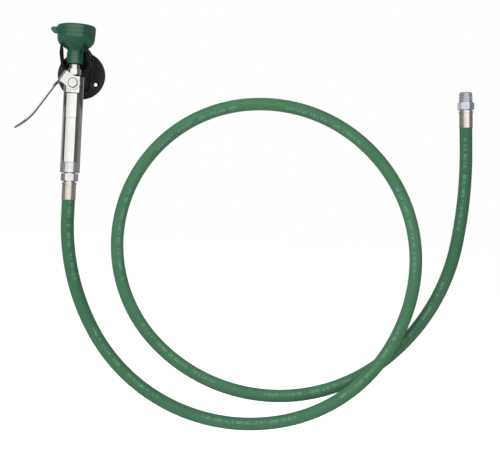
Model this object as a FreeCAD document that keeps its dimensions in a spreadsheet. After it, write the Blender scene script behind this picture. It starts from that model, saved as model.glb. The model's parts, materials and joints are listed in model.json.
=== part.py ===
"""Hand-held drench hose: spray head on a squeeze valve, wall bracket, hose and end fittings.

Millimetres, +Z up, +X to the right for someone facing the wall, +Y into the wall.
The origin is the centre of the wall plate's back face, so the wall is the plane Y = 0.
The handset hangs on a vertical axis in front of the wall. Its pieces are drawn about the
lever's pivot and then placed there.
"""
import FreeCAD, Part
import math
import os

import Sketcher

SIZES = {
    # wall bracket
    "plate_dia": 72.0,
    "plate_thick": 5.0,
    "screw_circle": 51.0,
    "screw_hole": 5.6,
    "screw_sink": 9.4,
    "sink_depth": 1.6,
    "arm_width": 32.8,
    "fork_width": 44.0,
    "fork_slot": 34.6,
    "standoff": 65.0,
    "pivot_drop": 20.4,
    # hexagonal squeeze valve, levels counted from the lever's pivot
    "hex_flats": 25.4,
    "body_top": 9.6,
    "body_seam": 50.7,
    "sleeve_end": 115.2,
    "cap_end": 130.0,
    "cap_dia": 28.6,
    "main_bore": 16.0,
    "waterway": 8.0,
    "seat_top": 12.0,
    "seat_thick": 3.0,
    "seat_lip": 1.0,
    "spigot_dia": 18.6,
    "spigot_length": 6.7,
    "cap_spigot": 8.0,
    "groove_level": 1.6,
    "groove_width": 1.6,
    "groove_depth": 1.35,
    "recess_flats": 17.6,
    "recess_drop": 14.0,
    "ledge_chamfer": 1.6,
    # lever and its cam spindle
    "spindle_dia": 10.0,
    "spindle_play": 0.03,
    "pivot_head": 12.2,
    "washer_dia": 14.8,
    "washer_thick": 0.6,
    "crank_dia": 4.6,
    "crank_offset": 2.6,
    "crank_lead": 19.0,
    "tail_flats": 8.0,
    "stub_dia": 7.0,
    "stub_length": 0.9,
    "pivot_head_thick": 1.3,
    "shaft_seal_depth": 6.4,
    "shaft_groove_width": 1.5,
    "shaft_groove_depth": 1.35,
    "sheet_thick": 1.8,
    "cheek_gap": 0.1,
    "cheek_width": 17.8,
    "cheek_round": 10.5,
    "web_reach": 22.1,
    "web_lean": 34.6,
    "handle_straight": 62.0,
    "handle_radius": 99.0,
    "handle_turn": 25.8,
    "handle_flare": 14.0,
    "handle_waist": 11.0,
    "handle_tip": 14.0,
    # poppet and spring
    "stem_dia": 3.2,
    "stem_gap": 0.03,
    "washer_depth": 2.2,
    "poppet_dia": 14.4,
    "poppet_thick": 3.3,
    "nut_flats": 5.5,
    "nut_thick": 2.6,
    "spring_dia": 11.5,
    "spring_wire": 1.2,
    "spring_turns": 6.0,
    "retainer_thick": 2.0,
    # outlet adapter
    "outlet_flats": 17.5,
    "outlet_hex_low": 12.1,
    "outlet_hex_high": 21.0,
    "outlet_collar_top": 27.1,
    "outlet_collar": 16.4,
    "outlet_thread": 15.8,
    "inner_thread": 12.0,
    # spray head, levels counted from the pivot
    "head_dia": 56.0,
    "bowl_dia": 54.6,
    "neck_low": 28.6,
    "neck_foot": 23.8,
    "neck_dia": 22.2,
    "neck_flare_top": 39.0,
    "shoulder_radius": 15.0,
    "shoulder_angle": 60.0,
    "throat_radius": 5.8,
    "bowl_straight": 66.5,
    "cap_line": 76.3,
    "head_top": 84.0,
    "spigot_rise": 2.7,
    "bowl_bore": 47.2,
    "plate_level": 66.0,
    "cap_wall": 2.4,
    "neck_seat": 40.0,
    "neck_gasket": 1.4,
    "regulator_dia": 12.0,
    "regulator_thick": 4.0,
    "face_gasket": 1.2,
    "filter_thick": 5.4,
    "face_thick": 2.4,
    "spray_hole": 2.2,
    "spray_pitch": 6.4,
    "ear_inside": 2.6,
    "ear_outside": 6.0,
    "hinge_out": 32.2,
    "hinge_level": 77.3,
    "hinge_knuckle": 3.9,
    "hinge_pin": 2.4,
    # hose and its end fittings
    "hose_dia": 19.0,
    "hose_bore": 12.7,
    "ferrule_dia": 20.4,
    "ferrule_collar": 21.5,
    "ferrule_length": 25.2,
    "ferrule_wall": 3.0,
    "fitting_flats": 22.2,
    "fitting_hex": 11.0,
    "fitting_neck": 17.0,
    "fitting_gap": 2.0,
    "tail_dia": 12.6,
    "fitting_bore": 9.0,
    "valve_thread": 18.0,
    "valve_thread_length": 11.0,
    "gasket_thick": 1.4,
    "thread_gap": 1.4,
    "valve_end_turn": 8.0,
    "inlet_end_turn": -18.0,
    "pipe_thread": 21.2,
    "pipe_thread_length": 15.5,
    # how the hose lies: height off the wall at rest on it, and where it crosses itself
    "wall_gap": 1.5,
    "cross_gap": 2.0,
}

# The hose leaves the handset straight down and then turns one way all round: radius, turn.
HOSE_LEAD = 47.2
HOSE_BENDS = [
    (325.7, 30.9),
    (261.8, 74.3),
    (233.3, 39.0),
    (256.4, 33.3),
    (232.2, 102.5),
    (213.3, 126.2),
    (257.2, 84.2),
    (298.5, 40.5),
    (677.1, 12.1),
]
HOSE_TAIL = 55.9
SETTLE_LENGTH = 650.0
CROSS_START = 800.0
CROSS_LENGTH = 350.0
POINT_STEP = 40.0

os.makedirs("parts", exist_ok=True)
doc = FreeCAD.newDocument("drench_hose")
sheet = doc.addObject("Spreadsheet::Sheet", "sizes")
for row, (alias, number) in enumerate(SIZES.items(), start=1):
    sheet.set(f"A{row}", alias)
    sheet.set(f"B{row}", str(number))
    sheet.setAlias(f"B{row}", alias)
doc.recompute()

nodes = []


class Size:
    """A length that carries both its number and the spreadsheet formula behind it."""

    def __init__(self, number, formula):
        self.number = number
        self.formula = formula

    @staticmethod
    def of(thing):
        return thing if isinstance(thing, Size) else Size(float(thing), repr(float(thing)))

    def __add__(self, other):
        other = Size.of(other)
        return Size(self.number + other.number, f"({self.formula} + {other.formula})")

    def __sub__(self, other):
        other = Size.of(other)
        return Size(self.number - other.number, f"({self.formula} - {other.formula})")

    def __mul__(self, factor):
        factor = Size.of(factor)
        return Size(self.number * factor.number, f"({self.formula} * {factor.formula})")

    def __truediv__(self, factor):
        factor = Size.of(factor)
        return Size(self.number / factor.number, f"({self.formula} / {factor.formula})")

    def __neg__(self):
        return Size(-self.number, f"(0 - {self.formula})")

    def __radd__(self, other):
        return Size.of(other) + self

    def __rsub__(self, other):
        return Size.of(other) - self


def size(alias):
    return Size(SIZES[alias], f"sizes.{alias}")


def trig(name, degrees):
    """sin or cos of an angle held in the sheet in degrees."""
    number = getattr(math, name)(math.radians(degrees.number))
    return Size(number, f"{name}({degrees.formula} * 1 deg)")


def bind(thing, path, amount):
    amount = Size.of(amount)
    thing.setExpression(path, amount.formula)


def place(thing, x=0.0, y=0.0, z=0.0, axis=None, angle=0.0):
    if axis is not None:
        thing.Placement.Rotation = FreeCAD.Rotation(FreeCAD.Vector(*axis), angle)
    for letter, amount in (("x", x), ("y", y), ("z", z)):
        bind(thing, f"Placement.Base.{letter}", amount)
    return thing


def rod(name, diameter, low, high, x=0.0, y=0.0):
    """Upright cylinder between two levels."""
    thing = doc.addObject("Part::Cylinder", name)
    bind(thing, "Radius", diameter / 2)
    bind(thing, "Height", Size.of(high) - low)
    return place(thing, x, y, low)


def cross_rod(name, diameter, front, back, x=0.0, z=0.0):
    """Cylinder along Y between two depths."""
    thing = doc.addObject("Part::Cylinder", name)
    bind(thing, "Radius", diameter / 2)
    bind(thing, "Height", Size.of(back) - front)
    return place(thing, x, front, z, axis=(1, 0, 0), angle=-90.0)


def hexagon(name, flats, low, high, turn=0.0):
    """Upright hexagonal bar with flats to the front and back."""
    thing = doc.addObject("Part::Prism", name)
    thing.Polygon = 6
    bind(thing, "Circumradius", Size.of(flats) / math.sqrt(3.0))
    bind(thing, "Height", Size.of(high) - low)
    return place(thing, 0.0, 0.0, low, axis=(0, 0, 1), angle=turn)


def block(name, x_span, y_span, z_span):
    """Box from three (low, high) pairs."""
    thing = doc.addObject("Part::Box", name)
    lows = []
    for key, (low, high) in zip(("Length", "Width", "Height"), (x_span, y_span, z_span)):
        bind(thing, key, Size.of(high) - low)
        lows.append(low)
    return place(thing, *lows)


def ring(name, middle_radius, section_radius, x=0.0, y=0.0, z=0.0, across=False):
    """Torus round the Z axis, or round the Y axis when across is set."""
    thing = doc.addObject("Part::Torus", name)
    bind(thing, "Radius1", middle_radius)
    bind(thing, "Radius2", section_radius)
    return place(thing, x, y, z, axis=(1, 0, 0), angle=-90.0 if across else 0.0)


def join(name, *things):
    thing = doc.addObject("Part::MultiFuse", name)
    thing.Shapes = list(things)
    return thing


def cut(name, base, tool):
    thing = doc.addObject("Part::Cut", name)
    thing.Base = base
    thing.Tool = tool
    return thing


def common(name, first, second):
    thing = doc.addObject("Part::Common", name)
    thing.Base = first
    thing.Tool = second
    return thing


def group(name, *things):
    thing = doc.addObject("Part::Compound", name)
    thing.Links = list(things)
    return thing


def node(label, thing, on_handset=True):
    """Name a finished sub-part; handset pieces move from the pivot to their place."""
    thing.Label = label
    if on_handset:
        bind(thing, "Placement.Base.y", -size("standoff"))
        bind(thing, "Placement.Base.z", -size("pivot_drop"))
    nodes.append(thing)
    return thing


def origin_plane(body, role):
    return next(plane for plane in body.Origin.OriginFeatures if plane.Role == role)


def sketch_on(body, role, name):
    sketch = body.newObject("Sketcher::SketchObject", name)
    sketch.AttachmentSupport = [(origin_plane(body, role), "")]
    sketch.MapMode = "FlatFace"
    return sketch


def pin_point(sketch, geometry, end, horizontal, vertical):
    """Hold one end of a line or arc at a driven distance from the sketch's origin."""
    for kind, amount in (("DistanceX", horizontal), ("DistanceY", vertical)):
        amount = Size.of(amount)
        held = Sketcher.Constraint(kind, -1, 1, geometry, end, amount.number)
        index = sketch.addConstraint(held)
        sketch.setExpression(f"Constraints[{index}]", amount.formula)


def arc_between(start, end, radius, bulge):
    """Short arc through two points, drawn anticlockwise as sketches store arcs; bulge is +1
    when it leaves its chord on the left of the way from start to end, and -1 on the right."""
    chord = end - start
    left = FreeCAD.Vector(-chord.y, chord.x, 0).normalize()
    reach = math.sqrt(radius * radius - chord.Length * chord.Length / 4)
    centre = (start + end) * 0.5 - left * reach * bulge
    first, last = (end, start) if bulge > 0 else (start, end)
    angles = [math.atan2(point.y - centre.y, point.x - centre.x) for point in (first, last)]
    circle = Part.Circle(centre, FreeCAD.Vector(0, 0, 1), radius)
    return Part.ArcOfCircle(circle, angles[0], angles[1])


def outline(sketch, points, bends=None):
    """Closed outline through points; bends maps a point's number to (radius, bulge) of the
    arc that leaves it."""
    bends = bends or {}
    corners = []
    for horizontal, vertical in points:
        corners.append(FreeCAD.Vector(Size.of(horizontal).number, Size.of(vertical).number, 0))
    count = len(points)
    ends = []
    for number in range(count):
        start = corners[number]
        end = corners[(number + 1) % count]
        if number in bends:
            radius, bulge = bends[number]
            radius = Size.of(radius)
            index = sketch.addGeometry(arc_between(start, end, radius.number, bulge), False)
            first_end = 2 if bulge > 0 else 1
            ends.append((index, first_end, 3 - first_end))
            held = sketch.addConstraint(Sketcher.Constraint("Radius", index, radius.number))
            sketch.setExpression(f"Constraints[{held}]", radius.formula)
        else:
            index = sketch.addGeometry(Part.LineSegment(start, end), False)
            ends.append((index, 1, 2))
    for number in range(count):
        index, first_end, last_end = ends[number]
        follower, follower_end, _ = ends[(number + 1) % count]
        sketch.addConstraint(Sketcher.Constraint("Coincident", index, last_end, follower, follower_end))
        pin_point(sketch, index, first_end, *points[number])


def disc_sketch(body, name, radius):
    """Circle round the pivot in the plane of the front view."""
    sketch = sketch_on(body, "XZ_Plane", name)
    circle = Part.Circle(FreeCAD.Vector(0, 0, 0), FreeCAD.Vector(0, 0, 1), radius.number)
    sketch.addGeometry(circle, False)
    sketch.addConstraint(Sketcher.Constraint("Coincident", 0, 3, -1, 1))
    sketch.addConstraint(Sketcher.Constraint("Radius", 0, radius.number))
    bind(sketch, "Constraints[1]", radius)
    return sketch


def pad(body, sketch, name, length, midplane=False):
    feature = body.newObject("PartDesign::Pad", name)
    feature.Profile = sketch
    feature.Midplane = midplane
    bind(feature, "Length", length)
    return feature


def pocket(body, sketch, name, length, midplane=True):
    feature = body.newObject("PartDesign::Pocket", name)
    feature.Profile = sketch
    feature.Midplane = midplane
    bind(feature, "Length", length)
    return feature


def turned_body(name, points, bends=None):
    """Body of revolution about the Z axis from an outline of (radius, level) points."""
    body = doc.addObject("PartDesign::Body", name)
    sketch = sketch_on(body, "XZ_Plane", f"{name}_profile")
    outline(sketch, points, bends)
    doc.recompute()
    turn = body.newObject("PartDesign::Revolution", f"{name}_turn")
    turn.Profile = sketch
    turn.ReferenceAxis = (sketch, ["V_Axis"])
    turn.Angle = 360.0
    return body


# ---------------------------------------------------------------- wall bracket
def wall_bracket():
    """Round wall disc, gusset arm and a fork that slopes forward and up round the neck."""
    body = doc.addObject("PartDesign::Body", "bracket")
    axis_y = -size("standoff")
    fork_half = size("fork_width") / 2

    fork_side = sketch_on(body, "YZ_Plane", "fork_side")
    outline(fork_side, [
        (axis_y + 21.0, -5.0),
        (axis_y + 21.0, 13.0),
        (axis_y + 6.0, 14.5),
        (axis_y - 1.0, 29.6),
        (axis_y - 20.0, 36.8),
        (axis_y - 20.8, 33.4),
        (axis_y + 10.0, 3.0),
    ])
    pad(body, fork_side, "fork_pad", size("fork_width"), midplane=True)

    # The front view of each prong: a round foot, a straight shank and a tip that leans inwards.
    for side, name in ((1.0, "right"), (-1.0, "left")):
        trim = sketch_on(body, "XZ_Plane", f"fork_trim_{name}")
        outline(trim, [
            (fork_half * side * 0.36, -6.0),
            (fork_half * side, 12.0),
            (fork_half * side, 22.0),
            (fork_half * side - 4.2 * side, 38.0),
            (fork_half * side + 6.0 * side, 38.0),
            (fork_half * side + 6.0 * side, -6.0),
        ], bends={0: (18.0, -side)})
        doc.recompute()
        pocket(body, trim, f"fork_shape_{name}", 400.0)

    arm = sketch_on(body, "YZ_Plane", "arm_side")
    outline(arm, [
        (-size("plate_thick") / 2, 32.0),
        (axis_y + 28.0, 34.0),
        (axis_y + 21.0, 29.0),
        (axis_y + 16.0, 11.0),
        (axis_y + 16.0, -2.0),
        (-size("plate_thick") / 2, -25.0),
    ])
    pad(body, arm, "arm_pad", size("arm_width"), midplane=True)

    # Behind the fork the arm narrows towards its lower edge.
    arm_half = size("arm_width") / 2
    for side, name in ((1.0, "right"), (-1.0, "left")):
        taper = sketch_on(body, "XZ_Plane", f"arm_taper_{name}")
        outline(taper, [
            (arm_half * side, 36.0),
            (arm_half * side - 1.6 * side, -3.5),
            (arm_half * side - 4.4 * side, -27.0),
            (arm_half * side + 6.0 * side, -27.0),
            (arm_half * side + 6.0 * side, 36.0),
        ])
        doc.recompute()
        pocket(body, taper, f"arm_side_{name}", 86.0)

    disc = disc_sketch(body, "disc", size("plate_dia") / 2)
    pad(body, disc, "disc_pad", size("plate_thick"))

    slot = sketch_on(body, "XY_Plane", "neck_slot")
    slot_half = size("fork_slot") / 2
    outline(slot, [
        (slot_half, axis_y + 3.0),
        (-slot_half, axis_y + 3.0),
        (-slot_half, axis_y - 40.0),
        (slot_half, axis_y - 40.0),
    ], bends={0: (slot_half * 1.02, -1)})
    doc.recompute()
    pocket(body, slot, "neck_pocket", 200.0)
    doc.recompute()

    # Three countersunk screw holes on a circle, the first straight up.
    drilled = []
    for name, diameter, depth in (
        ("screw_hole", size("screw_hole"), size("plate_thick") * 2),
        ("screw_sink", size("screw_sink"), size("sink_depth")),
    ):
        sketch = sketch_on(body, "XZ_Plane", name)
        if name == "screw_sink":
            bind(sketch, "AttachmentOffset.Base.z", size("plate_thick"))
        centre = FreeCAD.Vector(0, SIZES["screw_circle"] / 2, 0)
        sketch.addGeometry(Part.Circle(centre, FreeCAD.Vector(0, 0, 1), diameter.number / 2), False)
        sketch.addConstraint(Sketcher.Constraint("PointOnObject", 0, 3, -2))
        sketch.addConstraint(Sketcher.Constraint("DistanceY", -1, 1, 0, 3, centre.y))
        sketch.addConstraint(Sketcher.Constraint("Radius", 0, diameter.number / 2))
        bind(sketch, "Constraints[1]", size("screw_circle") / 2)
        bind(sketch, "Constraints[2]", diameter / 2)
        doc.recompute()
        drilled.append(pocket(body, sketch, f"{name}_pocket", depth * 2))
        doc.recompute()
    pattern = body.newObject("PartDesign::PolarPattern", "screw_pattern")
    pattern.Originals = drilled
    pattern.Axis = (sketch, ["N_Axis"])
    pattern.Angle = 360.0
    pattern.Occurrences = 3
    body.Tip = pattern
    node("wall_bracket", body, on_handset=False)


wall_bracket()


# ---------------------------------------------------------------- squeeze valve
def levels():
    """Levels of the valve's pieces, counted from the lever's pivot."""
    lip = -size("seat_top") - size("seat_thick") - size("seat_lip")
    cup = lip - size("washer_depth")
    under = cup - size("poppet_thick")
    spigot_top = -size("body_seam") + size("spigot_length")
    return {"lip": lip, "cup": cup, "under": under, "spigot_top": spigot_top}


def valve_body():
    """Upper length of the hexagon: milled for the lever, bored for spindle, seat and spring."""
    lv = levels()
    bar = hexagon("body_bar", size("hex_flats"), -size("body_seam"), size("body_top"))
    half_flats = size("recess_flats") / 2
    cuts = []
    for name, near, far in (("front", Size.of(-16.0), -half_flats), ("back", half_flats, Size.of(16.0))):
        cuts.append(block(f"recess_{name}", (-16.0, 16.0), (near, far),
                          (-size("recess_drop"), size("body_top") + 1.0)))
    # The ledge under each recess is chamfered by a square bar laid edge-on along its corner.
    for name, side in (("front", -1.0), ("back", 1.0)):
        bar_side = size("ledge_chamfer") * math.sqrt(2.0)
        corner = block(f"ledge_{name}", (-16.0, 16.0), (0.0, bar_side), (0.0, bar_side))
        place(corner, -16.0, size("hex_flats") * side / 2, -size("recess_drop") - size("ledge_chamfer"),
              axis=(1, 0, 0), angle=45.0)
        cuts.append(corner)
    bore_dia = size("spindle_dia") + size("spindle_play") * 2
    cuts.append(cross_rod("spindle_bore", bore_dia, -14.0, 14.0))
    cuts.append(rod("body_waterway", size("waterway"), -size("seat_top") - 1.0, size("body_top") + 1.0))
    cuts.append(rod("body_main_bore", size("main_bore"), -size("body_seam") - 1.0, -size("seat_top")))
    cuts.append(rod("body_spigot_bore", size("spigot_dia"), -size("body_seam") - 1.0,
                    lv["spigot_top"] + size("retainer_thick")))
    cuts.append(rod("body_outlet_bore", size("inner_thread"), size("spindle_dia") / 2 + 0.5,
                    size("body_top") + 1.0))
    node("valve_body", cut("valve_body_cut", bar, join("body_cuts", *cuts)))


def valve_seat():
    lv = levels()
    blank = join(
        "seat_blank",
        rod("seat_ring", size("main_bore"), -size("seat_top") - size("seat_thick"), -size("seat_top")),
        rod("seat_lip_ring", size("waterway") + 2.6, lv["lip"], -size("seat_top")),
    )
    node("valve_seat", cut("valve_seat_cut", blank, rod("seat_hole", size("waterway"), -20.0, 0.0)))


def handle_sleeve():
    """Lower length of the hexagon, screwed into the body by its spigot."""
    lv = levels()
    blank = join(
        "sleeve_blank",
        hexagon("sleeve_bar", size("hex_flats"), -size("sleeve_end"), -size("body_seam")),
        rod("sleeve_spigot", size("spigot_dia"), -size("body_seam") - 1.0, lv["spigot_top"]),
    )
    cuts = join(
        "sleeve_cuts",
        rod("sleeve_bore", size("spigot_dia") - 4.6, -size("sleeve_end") - 1.0, 0.0),
        rod("sleeve_chamber", size("spigot_dia"), -size("sleeve_end") - 1.0, -size("body_seam") - 4.0),
        seal_groove("sleeve_groove", size("spigot_dia"), size("groove_level") - size("body_seam")),
    )
    node("handle_sleeve", cut("handle_sleeve_cut", blank, cuts))


def seal_groove(name, outer, level):
    """Ring-shaped groove round an upright spigot."""
    width = size("groove_width")
    depth = size("groove_depth")
    return cut(
        name,
        rod(f"{name}_outer", outer + 2.0, level - width / 2, level + width / 2),
        rod(f"{name}_root", outer - depth * 2, level - width, level + width),
    )


def seal_ring(label, outer, level):
    """O-ring that fills a seal groove, just inside the bore it seals."""
    section = size("groove_depth") / 2 - 0.025
    torus = ring(f"{label}_torus", outer / 2 - section - 0.01, section, z=level)
    node(label, group(f"{label}_group", torus))


def inlet_cap():
    """Round end section with the hose thread."""
    blank = join(
        "cap_blank",
        rod("cap_round", size("cap_dia"), -size("cap_end"), -size("sleeve_end")),
        rod("cap_spigot_bar", size("spigot_dia"), -size("sleeve_end") - 1.0,
            size("cap_spigot") - size("sleeve_end")),
    )
    cuts = join(
        "cap_cuts",
        rod("cap_bore", size("hose_bore"), -size("cap_end") - 1.0, 0.0),
        rod("cap_thread_bore", size("valve_thread"), -size("cap_end") - 1.0,
            size("valve_thread_length") + size("gasket_thick") - size("cap_end")),
        seal_groove("cap_groove", size("spigot_dia"), size("groove_level") - size("sleeve_end")),
    )
    node("inlet_cap", cut("inlet_cap_cut", blank, cuts))


def fitting_gasket():
    low = size("valve_thread_length") - size("cap_end")
    top = low + size("gasket_thick")
    disc = rod("gasket_disc", size("valve_thread") - 0.2, low, top)
    node("fitting_gasket", cut("fitting_gasket_cut", disc, rod("gasket_hole", 12.0, low - 1.0, top + 1.0)))


def crank_centre():
    """Where the cam's centre stands at rest, left of the pivot and above it."""
    lead = size("crank_lead")
    across = -(size("crank_offset") * trig("cos", lead))
    up = size("crank_offset") * trig("sin", lead)
    return across, up


def stem_top():
    _, up = crank_centre()
    return up - size("crank_dia") / 2 - size("stem_gap")


def side_stack():
    """Depths of what lies on the milled flat: cheek, washer, head."""
    cheek_in = size("recess_flats") / 2 + size("cheek_gap")
    cheek_out = cheek_in + size("sheet_thick")
    washer_out = cheek_out + size("washer_thick")
    return cheek_in, cheek_out, washer_out


def cam_spindle():
    """Pivot shaft with a crank in the waterway, a round head in front and a flatted tail."""
    cheek_in, _, washer_out = side_stack()
    half_way = size("waterway") / 2
    across, up = crank_centre()
    shaft = size("spindle_dia")
    tail = common(
        "spindle_tail",
        cross_rod("tail_round", shaft, cheek_in, washer_out),
        block("tail_block", (-8.0, 8.0), (0.0, 20.0), (-size("tail_flats") / 2, size("tail_flats") / 2)),
    )
    place(tail, axis=(0, 1, 0), angle=SIZES["web_lean"])
    bind(tail, "Placement.Rotation.Angle", size("web_lean"))
    blank = join(
        "spindle_blank",
        cross_rod("spindle_head", size("pivot_head"), -washer_out - size("pivot_head_thick"), -washer_out),
        cross_rod("front_journal", shaft, -washer_out, -half_way),
        cross_rod("crank", size("crank_dia"), -half_way, half_way, x=across, z=up),
        cross_rod("back_journal", shaft, half_way, cheek_in),
        tail,
        cross_rod("cap_stub", size("stub_dia"), washer_out, washer_out + size("stub_length")),
    )
    half_groove = size("shaft_groove_width") / 2
    root_dia = shaft - size("shaft_groove_depth") * 2
    section = size("shaft_groove_depth") / 2 - 0.035
    grooves = []
    seals = []
    for name, depth in (("front", -size("shaft_seal_depth")), ("back", size("shaft_seal_depth"))):
        grooves.append(cut(
            f"spindle_groove_{name}",
            cross_rod(f"groove_outer_{name}", shaft + 2.0, depth - half_groove, depth + half_groove),
            cross_rod(f"groove_root_{name}", root_dia, depth - half_groove * 2, depth + half_groove * 2),
        ))
        seals.append(ring(f"spindle_seal_{name}", shaft / 2 - section - 0.02, section, y=depth,
                          across=True))
    node("cam_spindle", cut("cam_spindle_cut", blank, join("spindle_grooves", *grooves)))
    node("spindle_o_rings", group("spindle_seals", *seals))


def spindle_washers():
    _, cheek_out, washer_out = side_stack()
    rings = []
    for name, near, far in (("front", -washer_out, -cheek_out), ("back", cheek_out, washer_out)):
        rings.append(cut(
            f"washer_{name}",
            cross_rod(f"washer_disc_{name}", size("washer_dia"), near, far),
            cross_rod(f"washer_hole_{name}", size("spindle_dia") + 0.1, near - 1.0, far + 1.0),
        ))
    node("spindle_washers", group("washers", *rings))


def spindle_end_cap():
    _, _, washer_out = side_stack()
    disc = cross_rod("end_cap_disc", size("pivot_head"), washer_out, washer_out + size("pivot_head_thick"))
    socket = cross_rod("end_cap_socket", size("stub_dia"), washer_out - 1.0,
                       washer_out + size("stub_length"))
    node("spindle_end_cap", cut("end_cap_cut", disc, socket))


def lever():
    """Stamped lever: two cheeks joined by a web, and a long handle that flares at its tip.
    It is drawn with the web's plane upright and then leaned over."""
    cheek_in, cheek_out, _ = side_stack()
    web_out = size("web_reach")
    web_in = web_out - size("sheet_thick")
    half_cheek = size("cheek_width") / 2
    bend = size("web_reach") - size("cheek_width")
    body = doc.addObject("PartDesign::Body", "lever_body")

    # Side view: x runs from the pivot towards the web, y along the handle.
    straight = size("handle_straight")
    radius = size("handle_radius")
    turn = size("handle_turn")
    across = radius - radius * trig("cos", turn)
    along = radius * trig("sin", turn)
    inner = radius + size("sheet_thick")
    inner_across = inner - inner * trig("cos", turn)
    inner_along = inner * trig("sin", turn)
    strap = sketch_on(body, "XZ_Plane", "strap_side")
    outline(strap, [
        (-web_out, half_cheek),
        (-web_out, -straight),
        (-web_out - across, -straight - along),
        (-web_in - inner_across, -straight - inner_along),
        (-web_in, -straight),
        (-web_in, half_cheek),
    ], bends={1: (radius, 1), 3: (inner, -1)})
    pad(body, strap, "strap_pad", cheek_out * 2, midplane=True)

    # Front view of the blank: full width at the web, a waist, then a rounded paddle.
    waist = size("handle_waist") / 2
    tip = size("handle_tip") / 2
    foot = -straight - along
    for side, name in ((1.0, "near"), (-1.0, "far")):
        trim = sketch_on(body, "YZ_Plane", f"strap_trim_{name}")
        outline(trim, [
            (cheek_out * side, -half_cheek - 2.0),
            (waist * side, -half_cheek - size("handle_flare")),
            (waist * side, -straight + 14.0),
            (tip * side, foot + tip * 2.0),
            (tip * side * 0.25, foot),
            (tip * side * 0.25, foot - 4.0),
            (cheek_out * side + 2.0 * side, foot - 4.0),
            (cheek_out * side + 2.0 * side, -half_cheek - 2.0),
        ], bends={0: (size("handle_flare"), -side), 3: (30.0, side)})
        doc.recompute()
        pocket(body, trim, f"strap_cut_{name}", 200.0)

    # Cheeks: a bar from the web to the pivot with a round end about it.
    for near, name in ((cheek_in, "back"), (-cheek_out, "front")):
        bar = sketch_on(body, "XZ_Plane", f"cheek_{name}")
        bind(bar, "AttachmentOffset.Base.z", -near - size("sheet_thick"))
        outline(bar, [
            (-web_in - 0.5, half_cheek),
            (-web_in - 0.5, -half_cheek),
            (0.0, -half_cheek),
            (0.0, half_cheek),
        ])
        doc.recompute()
        pad(body, bar, f"cheek_pad_{name}", size("sheet_thick"))
        eye = disc_sketch(body, f"cheek_eye_{name}", size("cheek_round"))
        bind(eye, "AttachmentOffset.Base.z", -near - size("sheet_thick"))
        doc.recompute()
        pad(body, eye, f"cheek_eye_pad_{name}", size("sheet_thick"))
        doc.recompute()

    # The pivot hole is round in front and has two flats at the back, where it is keyed.
    hole = disc_sketch(body, "pivot_hole", size("spindle_dia") / 2 + 0.02)
    pocket(body, hole, "pivot_hole_front", cheek_out * 2 + 4.0)
    doc.recompute()
    for side, name in ((1.0, "above"), (-1.0, "below")):
        key = sketch_on(body, "YZ_Plane", f"key_flat_{name}")
        flat = size("tail_flats") / 2 + 0.02
        outline(key, [
            (cheek_in, flat * side),
            (cheek_out, flat * side),
            (cheek_out, (flat + 2.0) * side),
            (cheek_in, (flat + 2.0) * side),
        ])
        doc.recompute()
        pad(body, key, f"key_pad_{name}", 8.0, midplane=True)
        doc.recompute()

    body.Placement.Rotation = FreeCAD.Rotation(FreeCAD.Vector(0, 1, 0), SIZES["web_lean"])
    bind(body, "Placement.Rotation.Angle", size("web_lean"))
    node("lever", body)


def valve_stem():
    """Push rod: a flat-topped cross head under the crank and a rod down through the poppet."""
    lv = levels()
    top = stem_top()
    head = block("stem_head", (-3.6, 3.6), (-1.5, 1.5), (top - 2.0, top))
    shank = rod("stem_shank", size("stem_dia"), lv["under"] - size("nut_thick") - 1.0, top - 1.0)
    node("valve_stem", join("valve_stem_join", head, shank))


def poppet_set():
    """Rubber washer, its carrier and the nut that holds both on the stem."""
    lv = levels()
    hole = size("stem_dia")
    disc = rod("washer_blank", size("poppet_dia") - 1.4, lv["cup"], lv["lip"])
    node("poppet_washer", cut("poppet_washer_cut", disc, rod("washer_hole", hole, -40.0, 0.0)))
    carrier = cut(
        "poppet_cup",
        rod("poppet_blank", size("poppet_dia"), lv["under"], lv["lip"] - 1.0),
        rod("poppet_recess", size("poppet_dia") - 1.4, lv["cup"], 0.0),
    )
    node("poppet", cut("poppet_cut", carrier, rod("poppet_hole", hole, -40.0, 0.0)))
    nut = hexagon("nut_blank", size("nut_flats"), lv["under"] - size("nut_thick"), lv["under"])
    node("stem_nut", cut("stem_nut_cut", nut, rod("nut_hole", hole, -40.0, 0.0)))


def spring_retainer():
    lv = levels()
    top = lv["spigot_top"] + size("retainer_thick")
    disc = rod("retainer_disc", size("spigot_dia"), lv["spigot_top"], top)
    node("spring_retainer", cut("retainer_cut", disc, rod("retainer_hole", 8.4, -60.0, 0.0)))


def valve_spring():
    """Helical wire between the poppet and the retainer, with its ends just clear of both."""
    lv = levels()
    wire = SIZES["spring_wire"]
    foot = (lv["spigot_top"] + size("retainer_thick")).number + wire / 2 + 0.02
    head = lv["under"].number - wire / 2 - 0.02
    rise = head - foot
    path = Part.makeHelix(rise / SIZES["spring_turns"], rise, SIZES["spring_dia"] / 2)
    path.translate(FreeCAD.Vector(0, 0, foot))
    start = FreeCAD.Vector(SIZES["spring_dia"] / 2, 0, foot)
    section = Part.Wire([Part.makeCircle(wire / 2, start, FreeCAD.Vector(0, 1, 0))])
    thing = doc.addObject("Part::Feature", "valve_spring_wire")
    thing.Shape = Part.Wire(path.Edges).makePipeShell([section], True, True)
    node("valve_spring", thing)


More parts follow.
